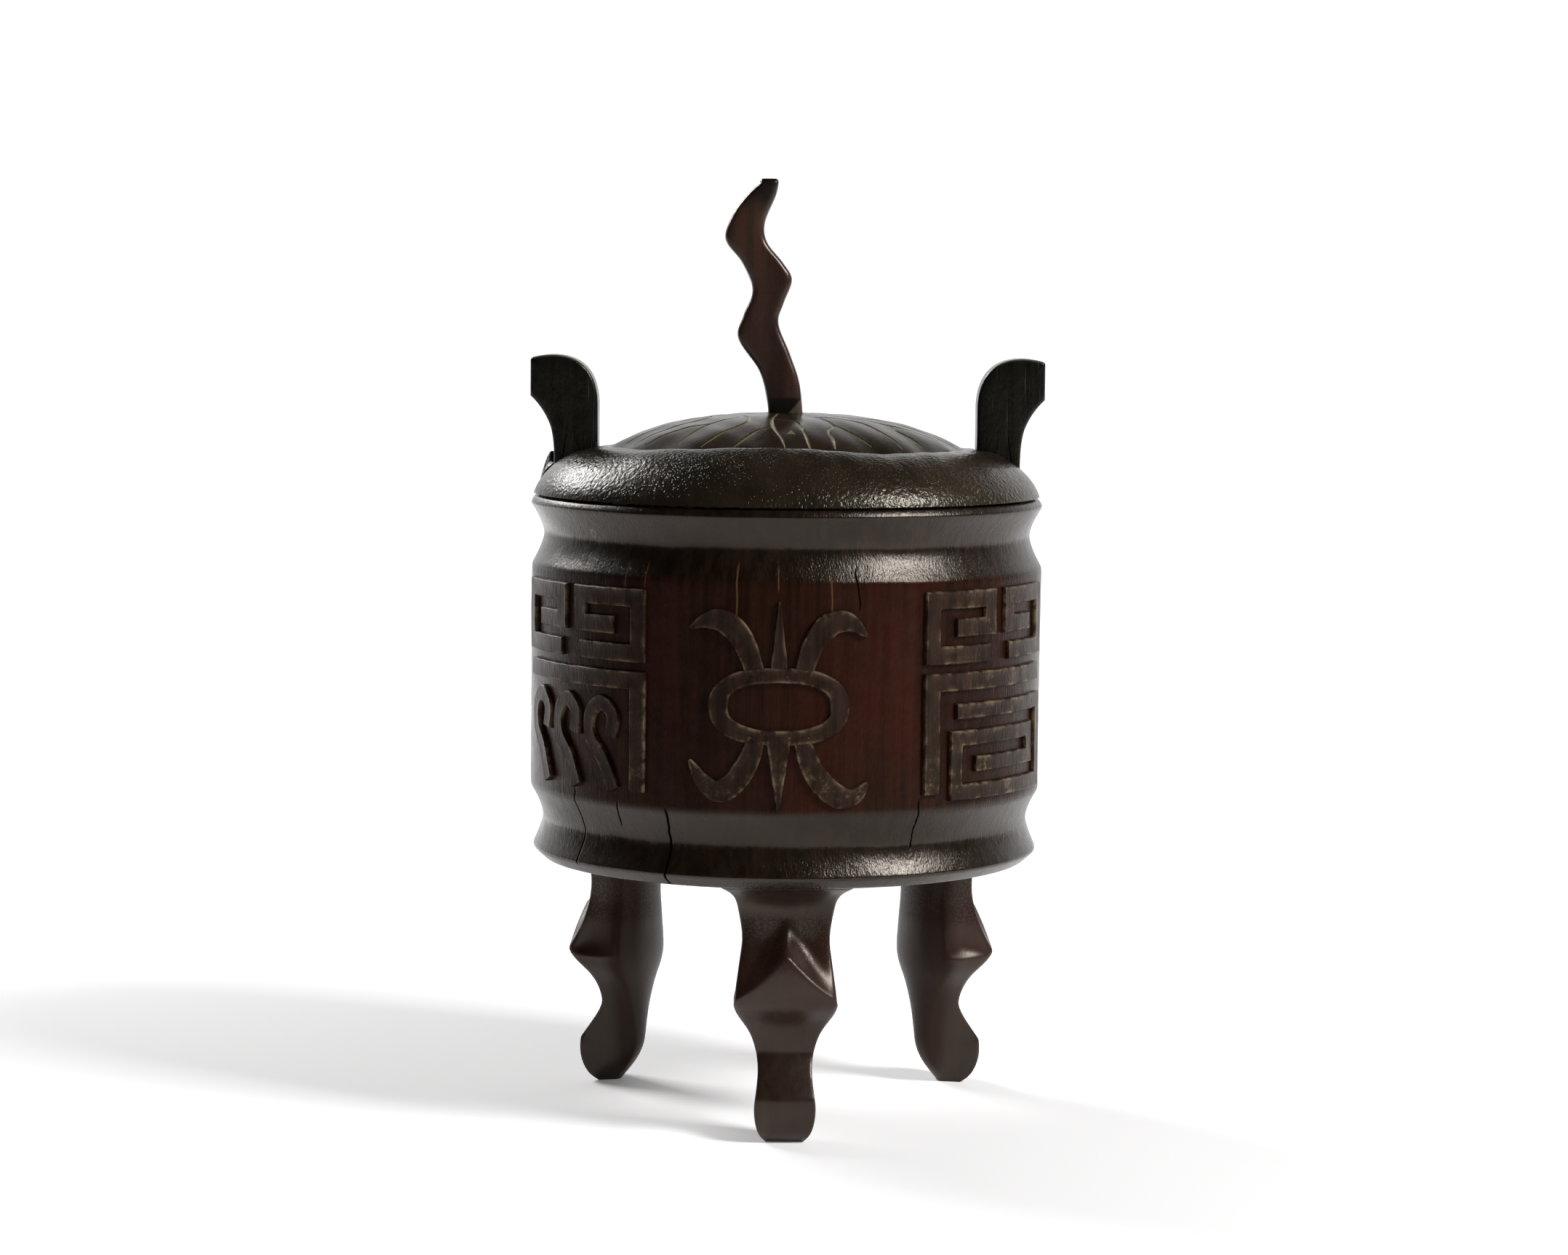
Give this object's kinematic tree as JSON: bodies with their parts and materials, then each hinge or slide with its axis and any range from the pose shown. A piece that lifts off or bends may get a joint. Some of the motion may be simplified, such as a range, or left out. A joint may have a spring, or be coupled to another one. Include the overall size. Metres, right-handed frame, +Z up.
{
  "type": "carved bamboo incense burner",
  "caption": "Round bamboo cup on three curved legs, with carved strokes on its wall, two standing ears and a lotus-leaf lid with a wavy stem.",
  "frame": {"origin": "on the floor under the middle of the cup", "axes": "+Z up; -Y towards the front leg; the two ears stand at +X and -X"},
  "size_m": [0.1104, 0.1118, 0.2],
  "materials": {
    "body_bamboo": "old bamboo, dark red-brown, waxed and worn, with straight vertical grain and fine cracks",
    "lid_bamboo": "old bamboo, grey-brown, pitted and glossy, with pale yellow incised veins",
    "stem_bamboo": "old bamboo, reddish brown, smooth and waxed"
  },
  "bodies": {
    "root": {"carved_body": "body_bamboo", "leaf_lid": "lid_bamboo", "lid_finial": "stem_bamboo"}
  },
  "joints": []
}
